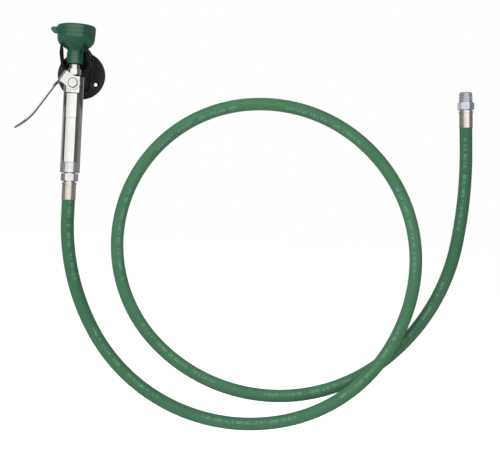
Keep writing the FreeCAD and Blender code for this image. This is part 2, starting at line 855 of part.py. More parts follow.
def outlet_adapter():
    """Hex nipple between valve and head, with a round collar under the head."""
    low = size("outlet_hex_low")
    high = size("outlet_hex_high")
    blank = join(
        "adapter_blank",
        rod("adapter_lower_thread", size("inner_thread"), size("spindle_dia") / 2 + 0.7, low + 1.0),
        hexagon("adapter_hex", size("outlet_flats"), low, high),
        rod("adapter_collar", size("outlet_collar"), high - 1.0, size("outlet_collar_top")),
        rod("adapter_upper_thread", size("outlet_thread"), high, size("neck_seat")),
    )
    node("outlet_adapter", cut("adapter_cut", blank, rod("adapter_bore", 7.6, 0.0, 60.0)))
    section = (low - size("body_top")) / 2 - 0.05
    seal = ring("adapter_seal", size("inner_thread") / 2 + section + 0.02, section,
                z=size("body_top") + section + 0.05)
    node("adapter_o_ring", group("adapter_seal_group", seal))


# ---------------------------------------------------------------- spray head
def spray_head_shell():
    """Moulded bell: flared neck, throat, round shoulder, straight bowl and a rim spigot."""
    bowl = size("bowl_dia") / 2
    neck = size("neck_dia") / 2
    shoulder = size("shoulder_radius")
    angle = size("shoulder_angle")
    shoulder_in = bowl - shoulder + shoulder * trig("cos", angle)
    shoulder_low = size("bowl_straight") - shoulder * trig("sin", angle)
    throat = size("throat_radius")
    throat_out = neck + throat * (1 - math.cos(math.radians(60.0)))
    slope = 1.0 / math.tan(math.radians(SIZES["shoulder_angle"]))
    throat_high = shoulder_low - (shoulder_in - throat_out) * slope
    throat_low = throat_high - throat * math.sin(math.radians(60.0))
    bore = size("outlet_thread") / 2
    seat = size("neck_seat") + size("neck_gasket")
    shell = turned_body("head_shell", [
        (bore, size("neck_low")),
        (size("neck_foot") / 2, size("neck_low")),
        (neck, size("neck_flare_top")),
        (neck, throat_low),
        (throat_out, throat_high),
        (shoulder_in, shoulder_low),
        (bowl, size("bowl_straight")),
        (size("head_dia") / 2, size("cap_line")),
        (size("bowl_bore") / 2 + 1.6, size("cap_line")),
        (size("bowl_bore") / 2 + 1.6, size("cap_line") + size("spigot_rise")),
        (size("bowl_bore") / 2, size("cap_line") + size("spigot_rise")),
        (size("bowl_bore") / 2, size("plate_level")),
        (size("bowl_bore") / 2 - 2.4, size("plate_level")),
        (size("bowl_bore") / 2 - 2.4, size("plate_level") - 1.0),
        (6.0, size("neck_low") + 24.0),
        (6.0, seat),
        (bore, seat),
    ], bends={3: (throat, 1), 5: (shoulder, -1)})
    doc.recompute()
    # Two hinge ears on the left for the dust cap's knuckle.
    ears = []
    inside = size("ear_inside")
    outside = size("ear_outside")
    for name, low, high in (("front", -outside, -inside), ("back", inside, outside)):
        knuckle = cross_rod(f"ear_knuckle_{name}", size("hinge_knuckle") * 2, low, high,
                            x=-size("hinge_out"), z=size("hinge_level"))
        root = block(f"ear_root_{name}", (-size("hinge_out"), -size("bowl_dia") / 2 + 1.6), (low, high),
                     (size("hinge_level") - 4.6, size("cap_line") - 0.1))
        ears += [knuckle, root]
    pin_hole = cross_rod("ear_pin_hole", size("hinge_pin"), -8.0, 8.0,
                         x=-size("hinge_out"), z=size("hinge_level"))
    node("spray_head_shell", cut("head_shell_cut", join("head_shell_join", shell, *ears), pin_hole))


def head_inner_pieces():
    """What lies inside the bell, from the neck up to the spray plate."""
    seat = size("neck_seat")
    regulator_low = seat + size("neck_gasket")
    disc = rod("outlet_gasket_disc", size("outlet_thread"), seat, regulator_low)
    node("outlet_gasket", cut("outlet_gasket_cut", disc, rod("outlet_gasket_hole", 9.0, 0.0, 60.0)))

    regulator_top = regulator_low + size("regulator_thick")
    disc = rod("regulator_disc", size("regulator_dia"), regulator_low, regulator_top)
    holes = [rod("regulator_middle", 2.4, 0.0, 70.0)]
    for number in range(6):
        angle = math.radians(60.0 * number)
        holes.append(rod(f"regulator_hole_{number}", 1.8, 0.0, 70.0,
                         x=3.6 * math.cos(angle), y=3.6 * math.sin(angle)))
    node("flow_regulator", cut("flow_regulator_cut", disc, join("regulator_holes", *holes)))
    seal = ring("regulator_seal", 3.6, 0.9, z=regulator_top + 0.92)
    node("regulator_o_ring", group("regulator_seal_group", seal))

    low = size("plate_level")
    inside = size("bowl_bore")
    filter_low = low + size("face_gasket")
    plate_low = filter_low + size("filter_thick")
    gasket = rod("face_gasket_disc", inside, low, filter_low)
    gasket_hole = rod("face_gasket_hole", inside - 6.0, 0.0, 90.0)
    node("spray_plate_gasket", cut("face_gasket_cut", gasket, gasket_hole))
    pad_disc = rod("filter_disc", inside - 0.4, filter_low, plate_low)
    node("filter_pad", group("filter_group", pad_disc))

    # Perforated face: rings of small holes round a middle hole.
    plate = rod("spray_plate_disc", inside, plate_low, plate_low + size("face_thick"))
    holes = [rod("spray_hole_middle", size("spray_hole"), 0.0, 90.0)]
    for ring_number, count in ((1, 6), (2, 12), (3, 18)):
        for number in range(count):
            angle = 2 * math.pi * number / count
            reach = size("spray_pitch") * ring_number
            holes.append(rod(f"spray_hole_{ring_number}_{number}", size("spray_hole"), 0.0, 90.0,
                             x=reach * math.cos(angle), y=reach * math.sin(angle)))
    node("spray_plate", cut("spray_plate_cut", plate, join("spray_holes", *holes)))


def dust_cap():
    """Flip-up lid with a rounded rim and a hinge knuckle between the shell's ears."""
    outer = size("head_dia") / 2
    inner = size("bowl_bore") / 2 + 1.85
    low = size("cap_line") + 0.1
    top = size("head_top")
    lid = turned_body("cap_lid", [
        (inner, low),
        (outer, low),
        (outer, top - 3.0),
        (outer - 3.0, top),
        (0.0, top),
        (0.0, top - size("cap_wall")),
        (inner, top - size("cap_wall")),
    ], bends={2: (3.0, -1)})
    doc.recompute()
    inside = size("ear_inside") - 0.1
    knuckle = cross_rod("cap_knuckle", size("hinge_knuckle") * 2, -inside, inside,
                        x=-size("hinge_out"), z=size("hinge_level"))
    arm = doc.addObject("PartDesign::Body", "cap_arm")
    side = sketch_on(arm, "XZ_Plane", "cap_arm_side")
    root = -outer + 1.8
    outline(side, [
        (-size("hinge_out"), size("hinge_level") + size("hinge_knuckle") - 0.1),
        (root, top - 1.6),
        (root, low + 0.1),
        (-size("hinge_out"), low + 0.1),
    ])
    pad(arm, side, "cap_arm_pad", inside * 2, midplane=True)
    doc.recompute()
    pin_hole = cross_rod("cap_pin_hole", size("hinge_pin") + 0.1, -8.0, 8.0,
                         x=-size("hinge_out"), z=size("hinge_level"))
    node("dust_cap", cut("dust_cap_cut", join("dust_cap_join", lid, knuckle, arm), pin_hole))
    reach = size("ear_outside") + 0.3
    pin = cross_rod("hinge_pin_rod", size("hinge_pin"), -reach, reach,
                    x=-size("hinge_out"), z=size("hinge_level"))
    node("dust_cap_hinge_pin", group("hinge_pin_group", pin))


# ---------------------------------------------------------------- hose and its ends
def smooth_step(progress):
    """0 to 1 with level ends."""
    progress = min(max(progress, 0.0), 1.0)
    return progress ** 3 * (progress * (6 * progress - 15) + 10)


def hose_depth(travelled):
    """Y of the hose: it sinks from the handset to the wall and rides over itself once."""
    rest = -(SIZES["hose_dia"] / 2 + SIZES["wall_gap"])
    over = rest - SIZES["hose_dia"] - SIZES["cross_gap"]
    start = -SIZES["standoff"]
    first = smooth_step(travelled / SETTLE_LENGTH)
    second = smooth_step((travelled - CROSS_START) / CROSS_LENGTH)
    return start + (over - start) * first + (rest - over) * second


def hose_path():
    """Edges of the hose's middle line, with its far end and its heading there. The line is a
    spline until it is down against the wall, and plane arcs after that."""
    bends = [(radius, radius * math.radians(turn)) for radius, turn in HOSE_BENDS]
    stretches = []
    airborne = CROSS_START + CROSS_LENGTH
    for radius, length in [(0.0, HOSE_LEAD)] + bends + [(0.0, HOSE_TAIL)]:
        loose = min(length, airborne)
        airborne -= loose
        stretches.append((radius, loose, max(3, round(loose / POINT_STEP)), True))
        stretches.append((radius, length - loose, 2, False))

    across = 0.0
    level = -SIZES["pivot_drop"] - hose_start_drop()
    heading = -math.pi / 2
    travelled = 0.0
    points = [FreeCAD.Vector(across, -SIZES["standoff"], level)]
    edges = []
    for radius, length, steps, loose in stretches:
        if not length:
            continue
        if not loose and not edges:
            curve = Part.BSplineCurve()
            curve.interpolate(Points=points, InitialTangent=FreeCAD.Vector(0, 0, -1),
                              FinalTangent=FreeCAD.Vector(math.cos(heading), 0, math.sin(heading)))
            edges.append(curve.toShape())
        for _ in range(steps):
            step = length / steps
            turn = step / radius if radius else 0.0
            chord = 2 * radius * math.sin(turn / 2) if radius else step
            across += chord * math.cos(heading + turn / 2)
            level += chord * math.sin(heading + turn / 2)
            heading += turn
            travelled += step
            points.append(FreeCAD.Vector(across, hose_depth(travelled), level))
        if not loose:
            first, middle, last = points[-3:]
            edges.append(Part.Arc(first, middle, last).toShape() if radius else Part.makeLine(first, last))
    return edges, points[-1], heading


def hose_start_drop():
    """Distance from the pivot down to the hose's end face inside the valve-end ferrule."""
    stack = ("cap_end", "thread_gap", "fitting_hex", "fitting_gap", "ferrule_wall")
    return sum(SIZES[alias] for alias in stack)


def hose():
    edges, end, heading = hose_path()
    spine = Part.Wire(edges)
    mouth = edges[0].valueAt(edges[0].FirstParameter)
    tubes = []
    for diameter in (SIZES["hose_dia"], SIZES["hose_bore"]):
        circle = Part.makeCircle(diameter / 2, mouth, FreeCAD.Vector(0, 0, -1))
        tubes.append(spine.makePipeShell([Part.Wire([circle])], True, True))
    thing = doc.addObject("Part::Feature", "hose_tube")
    thing.Shape = tubes[0].cut(tubes[1])
    node("hose", thing, on_handset=False)
    return end, heading


def hose_end(prefix, thread_dia, thread_length, gap, turn):
    """Fitting and ferrule drawn upright, with the hose's end face at the origin and the
    hose hanging below it."""
    wall = size("ferrule_wall")
    hex_low = wall + size("fitting_gap")
    hex_high = hex_low + size("fitting_hex")
    top = hex_high + gap + thread_length
    tail_low = -(size("ferrule_length") - wall) - 1.0
    blank = join(
        f"{prefix}_blank",
        rod(f"{prefix}_tail", size("tail_dia"), tail_low, hex_low),
        rod(f"{prefix}_neck", size("fitting_neck"), wall, hex_low + 1.0),
        common(
            f"{prefix}_hex",
            hexagon(f"{prefix}_hex_bar", size("fitting_flats"), hex_low, hex_high, turn),
            cone_tool(f"{prefix}_bevel", size("fitting_flats"), hex_low, hex_high),
        ),
        rod(f"{prefix}_thread", thread_dia, hex_high - 1.0, top),
    )
    fitting = cut(f"{prefix}_fitting_cut", blank, rod(f"{prefix}_bore", size("fitting_bore"), -60.0, 60.0))
    barrel = join(
        f"{prefix}_ferrule_blank",
        rod(f"{prefix}_collar", size("ferrule_collar"), 0.0, wall),
        rod(f"{prefix}_barrel", size("ferrule_dia"), wall - size("ferrule_length"), -1.2),
        rod(f"{prefix}_crease", size("ferrule_dia") - 0.8, -1.3, 0.1),
    )
    hollow = join(
        f"{prefix}_ferrule_hollow",
        rod(f"{prefix}_ferrule_bore", size("hose_dia"), -60.0, 0.0),
        rod(f"{prefix}_ferrule_hole", size("tail_dia"), -1.0, 10.0),
    )
    return fitting, cut(f"{prefix}_ferrule_cut", barrel, hollow)


def cone_tool(name, flats, low, high):
    """Double cone that bevels both ends of a hexagonal bar."""
    corner = Size.of(flats) / math.sqrt(3.0)
    face = Size.of(flats) / 2
    middle = (Size.of(low) + high) / 2
    spread = (Size.of(high) - low) * 0.9
    halves = []
    for half, near, far, first, second in (
        ("lower", low, middle, face * 1.02, face * 1.02 + spread),
        ("upper", middle, high, face * 1.02 + spread, face * 1.02),
    ):
        thing = doc.addObject("Part::Cone", f"{name}_{half}")
        bind(thing, "Radius1", first)
        bind(thing, "Radius2", second)
        bind(thing, "Height", Size.of(far) - near)
        halves.append(place(thing, 0.0, 0.0, near))
    return join(name, *halves)


def hose_assembly():
    end, heading = hose()
    lean = 90.0 - math.degrees(heading)
    fitting, ferrule = hose_end("valve_end", size("valve_thread"), size("valve_thread_length"),
                                size("thread_gap"), SIZES["valve_end_turn"])
    for label, thing in (("valve_end_fitting", fitting), ("valve_end_ferrule", ferrule)):
        node(label, thing, on_handset=False)
        thing.Placement = FreeCAD.Placement(
            FreeCAD.Vector(0, -SIZES["standoff"], -SIZES["pivot_drop"] - hose_start_drop()),
            FreeCAD.Rotation())
    fitting, ferrule = hose_end("inlet_end", size("pipe_thread"), size("pipe_thread_length"), 0.0,
                                SIZES["inlet_end_turn"])
    for label, thing in (("inlet_end_fitting", fitting), ("inlet_end_ferrule", ferrule)):
        node(label, thing, on_handset=False)
        thing.Placement = FreeCAD.Placement(end, FreeCAD.Rotation(FreeCAD.Vector(0, 1, 0), lean))


valve_body()
valve_seat()
handle_sleeve()
inlet_cap()
seal_ring("sleeve_o_ring", size("spigot_dia"), size("groove_level") - size("body_seam"))
seal_ring("cap_o_ring", size("spigot_dia"), size("groove_level") - size("sleeve_end"))
fitting_gasket()
cam_spindle()
spindle_washers()
spindle_end_cap()
lever()
valve_stem()
poppet_set()
spring_retainer()
valve_spring()
outlet_adapter()
spray_head_shell()
head_inner_pieces()
dust_cap()
hose_assembly()
doc.recompute()

for thing in doc.Objects:
    if "Invalid" in thing.State or "Error" in thing.State:
        raise SystemExit(f"{thing.Name} failed: {thing.State}")
for thing in nodes:
    if thing.Shape.isNull() or not thing.Shape.isValid():
        raise SystemExit(f"{thing.Label} has no valid shape")
for thing in nodes:
    thing.Shape.exportStep(f"parts/{thing.Label}.step")
    print(thing.Label, round(thing.Shape.Volume, 1))
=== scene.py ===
import json
import math

import bmesh
import bpy
from mathutils import Matrix, Vector


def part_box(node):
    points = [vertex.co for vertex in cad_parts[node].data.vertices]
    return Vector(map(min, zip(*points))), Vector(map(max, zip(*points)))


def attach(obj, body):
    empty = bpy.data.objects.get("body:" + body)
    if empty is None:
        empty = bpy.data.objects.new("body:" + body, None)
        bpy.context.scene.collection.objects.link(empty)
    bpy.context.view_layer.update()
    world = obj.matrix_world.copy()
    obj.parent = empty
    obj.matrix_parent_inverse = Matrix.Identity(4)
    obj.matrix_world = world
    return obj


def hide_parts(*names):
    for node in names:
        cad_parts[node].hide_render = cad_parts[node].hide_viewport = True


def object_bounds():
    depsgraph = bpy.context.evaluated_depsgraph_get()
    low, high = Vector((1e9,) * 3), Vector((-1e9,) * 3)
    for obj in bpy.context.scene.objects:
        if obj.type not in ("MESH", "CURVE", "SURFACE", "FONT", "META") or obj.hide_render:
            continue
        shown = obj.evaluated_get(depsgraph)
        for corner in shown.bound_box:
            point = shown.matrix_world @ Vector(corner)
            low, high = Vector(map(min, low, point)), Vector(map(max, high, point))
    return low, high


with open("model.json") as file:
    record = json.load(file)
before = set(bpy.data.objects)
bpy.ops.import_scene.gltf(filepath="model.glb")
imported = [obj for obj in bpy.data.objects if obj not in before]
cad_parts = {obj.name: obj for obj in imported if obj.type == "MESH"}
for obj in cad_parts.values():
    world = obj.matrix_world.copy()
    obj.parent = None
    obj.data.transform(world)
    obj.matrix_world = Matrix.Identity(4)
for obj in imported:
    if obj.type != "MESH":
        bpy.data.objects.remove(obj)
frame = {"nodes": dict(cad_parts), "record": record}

CAD_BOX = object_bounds()
MM = 0.001
TURN = 2 * math.pi
CROWN = 4.8              # how fast a drawn flat falls away from its middle, per metre
HANDSET_AXIS = (0.0, -0.065, 0.0)
AT_PIVOT = Matrix.Translation((0.0, -0.065, -0.0204))    # the lever's pivot, on the handset's axis


# ---------------------------------------------------------------- node material helpers
class Shader:
    """One procedural material, built node by node on top of a Principled shader."""

    def __init__(self, name):
        self.material = bpy.data.materials.new(name)
        self.material.use_nodes = True
        self.tree = self.material.node_tree
        self.bsdf = self.tree.nodes["Principled BSDF"]
        self.coordinates = self.tree.nodes.new("ShaderNodeTexCoord").outputs["Object"]

    def node(self, kind, inputs=None, **settings):
        made = self.tree.nodes.new(kind)
        for key, value in settings.items():
            setattr(made, key, value)
        for key, value in (inputs or {}).items():
            self.feed(made.inputs[key], value)
        return made

    def feed(self, socket, value):
        if isinstance(value, bpy.types.NodeSocket):
            self.tree.links.new(value, socket)
        else:
            socket.default_value = value

    def stretch(self, scale):
        """Object coordinates scaled by axis."""
        return self.node("ShaderNodeMapping", {"Vector": self.coordinates, "Scale": scale}).outputs[0]

    def noise(self, scale, detail=3.0, vector=None):
        made = self.node("ShaderNodeTexNoise", {
            "Vector": vector or self.coordinates, "Scale": scale, "Detail": detail})
        return made.outputs["Fac"]

    def span(self, value, low, high, start=0.3, stop=0.7):
        """Maps start..stop of value to low..high."""
        made = self.node("ShaderNodeMapRange", {
            "Value": value, "From Min": start, "From Max": stop, "To Min": low, "To Max": high})
        return made.outputs["Result"]

    def math(self, operation, first, second=0.0):
        return self.node("ShaderNodeMath", {0: first, 1: second}, operation=operation).outputs[0]

    def mix(self, amount, first, second):
        made = self.node("ShaderNodeMix", data_type="RGBA")
        self.feed(made.inputs["Factor"], amount)
        self.feed(made.inputs["A"], first)
        self.feed(made.inputs["B"], second)
        return made.outputs["Result"]

    def edge_wear(self, radius):
        """1 on outside edges of the form, 0 on flats."""
        bevel = self.node("ShaderNodeBevel", {"Radius": radius}, samples=4).outputs[0]
        plain = self.node("ShaderNodeNewGeometry").outputs["Normal"]
        dot = self.node("ShaderNodeVectorMath", {0: bevel, 1: plain}, operation="DOT_PRODUCT")
        return self.span(dot.outputs["Value"], 1.0, 0.0, 0.80, 0.995)

    def bump(self, height, distance):
        made = self.node("ShaderNodeBump", {"Height": height, "Distance": distance, "Strength": 1.0})
        self.feed(self.bsdf.inputs["Normal"], made.outputs[0])

    def set(self, **values):
        for key, value in values.items():
            self.feed(self.bsdf.inputs[key.replace("_", " ")], value)


def rgb(red, green, blue):
    return (red, green, blue, 1.0)


def polished_metal(name, colour, smudged, rough=(0.05, 0.16), grain=0.000004, crown_about=None,
                   metal=1.0):
    """Plated or turned metal: slow smudges, faint polishing streaks. Drawn hexagon bar also has
    slightly crowned flats, higher in the middle than at the corners, about its own axis."""
    look = Shader(name)
    smudge = look.noise(38.0, 4.0)
    streak = look.noise(1.0, 3.0, look.stretch((1400.0, 1400.0, 90.0)))
    look.set(Base_Color=look.mix(look.span(smudge, 0.0, 1.0), colour, smudged), Metallic=metal,
             Roughness=look.span(look.noise(90.0, 5.0), rough[0], rough[1]))
    skin = look.math("MULTIPLY", look.math("ADD", streak, look.math("MULTIPLY", smudge, 0.6)), grain)
    if crown_about is not None:
        away = look.node("ShaderNodeVectorMath", {0: look.coordinates, 1: crown_about},
                         operation="SUBTRACT").outputs[0]
        flat = look.node("ShaderNodeVectorMath", {0: away, 1: (1.0, 1.0, 0.0)},
                         operation="MULTIPLY").outputs[0]
        square = look.node("ShaderNodeVectorMath", {0: flat, 1: flat}, operation="DOT_PRODUCT")
        skin = look.math("SUBTRACT", skin, look.math("MULTIPLY", square.outputs["Value"], CROWN))
    look.bump(skin, 1.0)
    return look.material


def brushed_steel(name, colour, dark):
    look = Shader(name)
    brush = look.noise(1.0, 4.0, look.stretch((300.0, 2600.0, 300.0)))
    look.set(Base_Color=look.mix(look.span(brush, 0.0, 1.0), colour, dark), Metallic=1.0,
             Roughness=look.span(look.noise(220.0, 3.0), 0.12, 0.22))
    look.bump(brush, 0.0000015)
    return look.material


def moulded_plastic(name, colour, worn, rough, grain_scale, grain, coat=0.0, line_level=None):
    """Injection-moulded plastic with a fine skin, slow tint changes and rubbed edges. It can have
    a shallow moulded line round it at one level, painted dark as the shade in its groove."""
    look = Shader(name)
    tint = look.mix(look.span(look.noise(30.0, 3.0), 0.0, 0.25), colour, worn)
    edge = look.math("MULTIPLY", look.edge_wear(0.0007), 0.35)
    skin = look.math("MULTIPLY", look.noise(grain_scale, 3.0), grain)
    tint = look.mix(edge, tint, worn)
    if line_level is not None:
        level = look.node("ShaderNodeSeparateXYZ", {0: look.coordinates}).outputs[2]
        away = look.math("ABSOLUTE", look.math("SUBTRACT", level, line_level))
        outside = look.span(away, 0.0, 1.0, 0.0002, 0.0007)
        # Painted shade: the seam's groove at line_level is coloured near-black green.
        tint = look.mix(outside, rgb(0.0, 0.03, 0.014), tint)
        skin = look.math("ADD", skin, look.math("MULTIPLY", outside, 0.0002))
    look.set(Base_Color=tint, Roughness=look.span(look.noise(120.0, 4.0), rough[0], rough[1]))
    look.set(Coat_Weight=coat, Coat_Roughness=0.06)
    look.bump(skin, 1.0)
    return look.material


def dull_rubber(name, colour, dusty):
    look = Shader(name)
    look.set(Base_Color=look.mix(look.span(look.noise(160.0, 4.0), 0.0, 1.0), colour, dusty),
             Roughness=look.span(look.noise(300.0, 2.0), 0.6, 0.85))
    look.bump(look.noise(1500.0, 2.0), 0.00003)
    return look.material


def open_foam(name):
    look = Shader(name)
    cells = look.node("ShaderNodeTexVoronoi", {"Vector": look.coordinates, "Scale": 900.0})
    depth = cells.outputs["Distance"]
    # Painted shade: the cell hollows, sunk by the bump below, are coloured darker than their rims.
    look.set(Base_Color=look.mix(look.span(depth, 0.0, 1.0, 0.1, 0.7), rgb(0.02, 0.02, 0.02),
                                 rgb(0.11, 0.11, 0.11)), Roughness=0.95)
    look.bump(depth, 0.0004)
    return look.material


def hose_rubber(name, length, girth):
    """Green cover with a faint wrapped-cloth skin and a pale lay line of plain dashes.
    The hose's own map runs along it (U) and round it (V), both in metres."""
    look = Shader(name)
    place = look.node("ShaderNodeUVMap").outputs[0]
    parts = look.node("ShaderNodeSeparateXYZ", {0: place})
    along, around = parts.outputs[0], parts.outputs[1]
    skin = look.noise(1.0, 4.0, look.node("ShaderNodeMapping", {
        "Vector": place, "Scale": (160.0, 900.0, 1.0)}).outputs[0])
    slow = look.noise(22.0, 3.0)
    base = look.mix(look.span(slow, 0.0, 1.0), rgb(0.030, 0.118, 0.055), rgb(0.040, 0.140, 0.068))
    base = look.mix(look.span(skin, 0.0, 0.5, 0.4, 0.8), base, rgb(0.052, 0.165, 0.088))
    # The cover is fresher and darker near its two ends.
    worn = look.math("MULTIPLY", look.span(along, 0.0, 1.0, 0.12, 0.5),
                     look.span(along, 1.0, 0.0, length - 0.5, length - 0.15))
    base = look.mix(worn, look.mix(skin, rgb(0.020, 0.094, 0.042), rgb(0.028, 0.112, 0.054)), base)
    # Dashes: random lengths inside long runs, with bare hose between the runs.
    cell = look.math("FLOOR", look.math("MULTIPLY", along, 420.0))
    pick = look.node("ShaderNodeTexWhiteNoise", {"W": cell}, noise_dimensions="1D").outputs["Value"]
    dash = look.math("GREATER_THAN", pick, 0.36)
    run = look.math("FRACT", look.math("MULTIPLY", along, 1 / 0.215))
    dash = look.math("MULTIPLY", dash, look.math("LESS_THAN", run, 0.66))
    row = look.math("ABSOLUTE", look.math("SUBTRACT", around, girth / 2 - 0.0034))
    dash = look.math("MULTIPLY", dash, look.span(row, 1.0, 0.0, 0.0021, 0.0026))
    dash = look.math("MULTIPLY", dash, look.span(look.noise(520.0, 3.0), 0.0, 1.0, 0.38, 0.6))
    colour = look.mix(look.math("MULTIPLY", dash, 0.42), base, rgb(0.17, 0.33, 0.25))
    look.set(Base_Color=colour, Roughness=look.span(look.noise(130.0, 4.0), 0.42, 0.62))
    look.set(Specular_IOR_Level=0.4)
    look.bump(look.math("ADD", skin, look.math("MULTIPLY", look.noise(1800.0, 2.0), 0.5)), 0.00006)
    return look.material


def materials():
    return {
        "bracket_plastic": moulded_plastic("black_moulding", rgb(0.004, 0.0055, 0.005),
                                           rgb(0.012, 0.015, 0.014), (0.3, 0.42), 900.0, 0.00003),
        "green_plastic": moulded_plastic("green_moulding", rgb(0.004, 0.066, 0.032),
                                         rgb(0.010, 0.086, 0.047), (0.3, 0.42), 500.0, 0.000008,
                                         coat=0.95, line_level=0.0497),
        "chrome_brass": polished_metal("chrome_plate", rgb(0.92, 0.92, 0.90), rgb(0.85, 0.85, 0.83),
                                       crown_about=HANDSET_AXIS),
        "lever_steel": brushed_steel("lever_steel", rgb(0.90, 0.89, 0.86), rgb(0.80, 0.79, 0.77)),
        # Besides dark steel parts, this look also paints the shade in the gap under the head onto the
        # adapter's threads.
        "dark_steel": brushed_steel("dark_steel", rgb(0.16, 0.16, 0.17), rgb(0.09, 0.09, 0.1)),
        "satin_chrome": polished_metal("satin_chrome", rgb(0.90, 0.90, 0.90), rgb(0.84, 0.84, 0.84),
                                       (0.12, 0.22), 0.000002, metal=0.9),
        "zinc_steel": polished_metal("zinc_plate", rgb(0.84, 0.88, 0.93), rgb(0.74, 0.78, 0.84),
                                     (0.2, 0.34), 0.00001, metal=0.85),
        "ferrule_brass": polished_metal("pale_ferrule", rgb(0.93, 0.87, 0.80), rgb(0.86, 0.78, 0.69),
                                        (0.12, 0.22), 0.000002, metal=0.92),
        "brass": polished_metal("machined_brass", rgb(0.78, 0.58, 0.28), rgb(0.66, 0.47, 0.2), (0.2, 0.35)),
        "spring_steel": brushed_steel("spring_wire", rgb(0.6, 0.6, 0.62), rgb(0.42, 0.42, 0.44)),
        "black_rubber": dull_rubber("black_rubber", rgb(0.012, 0.012, 0.012), rgb(0.03, 0.03, 0.03)),
        "foam": open_foam("filter_foam"),
        "white_plastic": moulded_plastic("white_moulding", rgb(0.7, 0.7, 0.67), rgb(0.8, 0.8, 0.78),
                                         (0.35, 0.5), 700.0, 0.00002),
    }


# ---------------------------------------------------------------- mesh helpers
def new_piece(name, mesh_data, material):
    piece = bpy.data.objects.new(name, mesh_data)
    bpy.context.collection.objects.link(piece)
    mesh_data.materials.clear()
    mesh_data.materials.append(material)
    for face in mesh_data.polygons:
        face.use_smooth = True
    return piece


# The hose leaves the handset straight down, then turns one way all round: radius, turn.
HOSE_LEAD = 0.0472
HOSE_BENDS = [
    (0.3257, 30.9), (0.2618, 74.3), (0.2333, 39.0), (0.2564, 33.3), (0.2322, 102.5),
    (0.2133, 126.2), (0.2572, 84.2), (0.2985, 40.5), (0.6771, 12.1),
]
HOSE_TAIL = 0.0559
HOSE_RADIUS = 0.0095
SETTLE_LENGTH = 0.650    # run in which the hose settles back from the handset towards the wall
CROSS_START = 0.800      # where it begins to go back behind the run that crosses it
CROSS_LENGTH = 0.350
WALL_GAP = 0.0015
CROSS_GAP = 0.002


def smooth_step(progress):
    progress = min(max(progress, 0.0), 1.0)
    return progress ** 3 * (progress * (6 * progress - 15) + 10)


def hose_line(start, step=0.0045):
    """Points along the hose's middle from the handset, with the distance travelled at each."""
    rest = -(HOSE_RADIUS + WALL_GAP)
    over = rest - 2 * HOSE_RADIUS - CROSS_GAP
    across, depth, level = start
    heading = -math.pi / 2
    travelled = 0.0
    line = [(Vector(start), 0.0)]
    stretches = [(0.0, HOSE_LEAD)]
    stretches += [(radius, radius * math.radians(turn)) for radius, turn in HOSE_BENDS]
    stretches.append((0.0, HOSE_TAIL))
    for radius, length in stretches:
        count = max(1, round(length / step))
        piece = length / count
        for _ in range(count):
            turn = piece / radius if radius else 0.0
            chord = 2 * radius * math.sin(turn / 2) if radius else piece
            across += chord * math.cos(heading + turn / 2)
            level += chord * math.sin(heading + turn / 2)
            heading += turn
            travelled += piece
            sunk = (over - start[1]) * smooth_step(travelled / SETTLE_LENGTH)
            sunk += (rest - over) * smooth_step((travelled - CROSS_START) / CROSS_LENGTH)
            line.append((Vector((across, start[1] + sunk, level)), travelled))
    return line


def hose_mesh(line, around=36):
    """Tube with flat closed ends; its map is in metres along and round the hose."""
    shape = bmesh.new()
    chart = shape.loops.layers.uv.new("UVMap")
    rings = []
    for number, (point, travelled) in enumerate(line):
        before = line[max(number - 1, 0)][0]
        after = line[min(number + 1, len(line) - 1)][0]
        ahead = (after - before).normalized()
        front = (Vector((0, -1, 0)) - ahead * ahead.dot(Vector((0, -1, 0)))).normalized()
        side = ahead.cross(front)
        ring = []
        for turn in range(around):
            angle = TURN * turn / around + math.pi
            reach = front * math.cos(angle) + side * math.sin(angle)
            ring.append(shape.verts.new(point + reach * HOSE_RADIUS))
        rings.append(ring)
    girth = TURN * HOSE_RADIUS
    for number in range(len(line) - 1):
        for turn in range(around):
            following = (turn + 1) % around
            face = shape.faces.new((rings[number][turn], rings[number][following],
                                    rings[number + 1][following], rings[number + 1][turn]))
            places = ((number, turn), (number, turn + 1), (number + 1, turn + 1), (number + 1, turn))
            for loop, (step, spoke) in zip(face.loops, places):
                loop[chart].uv = (line[step][1], girth * spoke / around)
    for ring in (rings[0], rings[-1]):
        shape.faces.new(ring)
    bmesh.ops.recalc_face_normals(shape, faces=shape.faces)
    mesh_data = bpy.data.meshes.new("hose_cover")
    shape.to_mesh(mesh_data)
    shape.free()
    return mesh_data


def hose_start():
    """Middle of the hose's end face, just below the top wall of its ferrule."""
    ferrule_wall = 0.003
    low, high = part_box("valve_end_ferrule")
    return Vector(((low.x + high.x) / 2, (low.y + high.y) / 2, high.z - ferrule_wall))


def make_hose(looks):
    line = hose_line(hose_start())
    looks["hose_rubber"] = hose_rubber("hose_cover", line[-1][1], TURN * HOSE_RADIUS)
    piece = new_piece("hose_cover", hose_mesh(line), looks["hose_rubber"])
    piece.visible_glossy = False
    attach(piece, "handset")
    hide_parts("hose")


# ---------------------------------------------------------------- wall bracket
def cad_copy(node):
    """A separate mesh with the node's own shape, in world coordinates."""
    source = frame["nodes"][node]
    mesh_data = source.data.copy()
    mesh_data.transform(source.matrix_world)
    return mesh_data


def applied(mesh_data, *modifiers):
    """The mesh after a row of modifiers, each a kind with its settings."""
    holder = bpy.data.objects.new("modelling", mesh_data)
    bpy.context.collection.objects.link(holder)
    for number, (kind, settings) in enumerate(modifiers):
        modifier = holder.modifiers.new(f"step_{number}", kind)
        for key, value in settings.items():
            setattr(modifier, key, value)
    evaluated = holder.evaluated_get(bpy.context.evaluated_depsgraph_get())
    finished = bpy.data.meshes.new_from_object(evaluated)
    bpy.data.objects.remove(holder)
    return finished


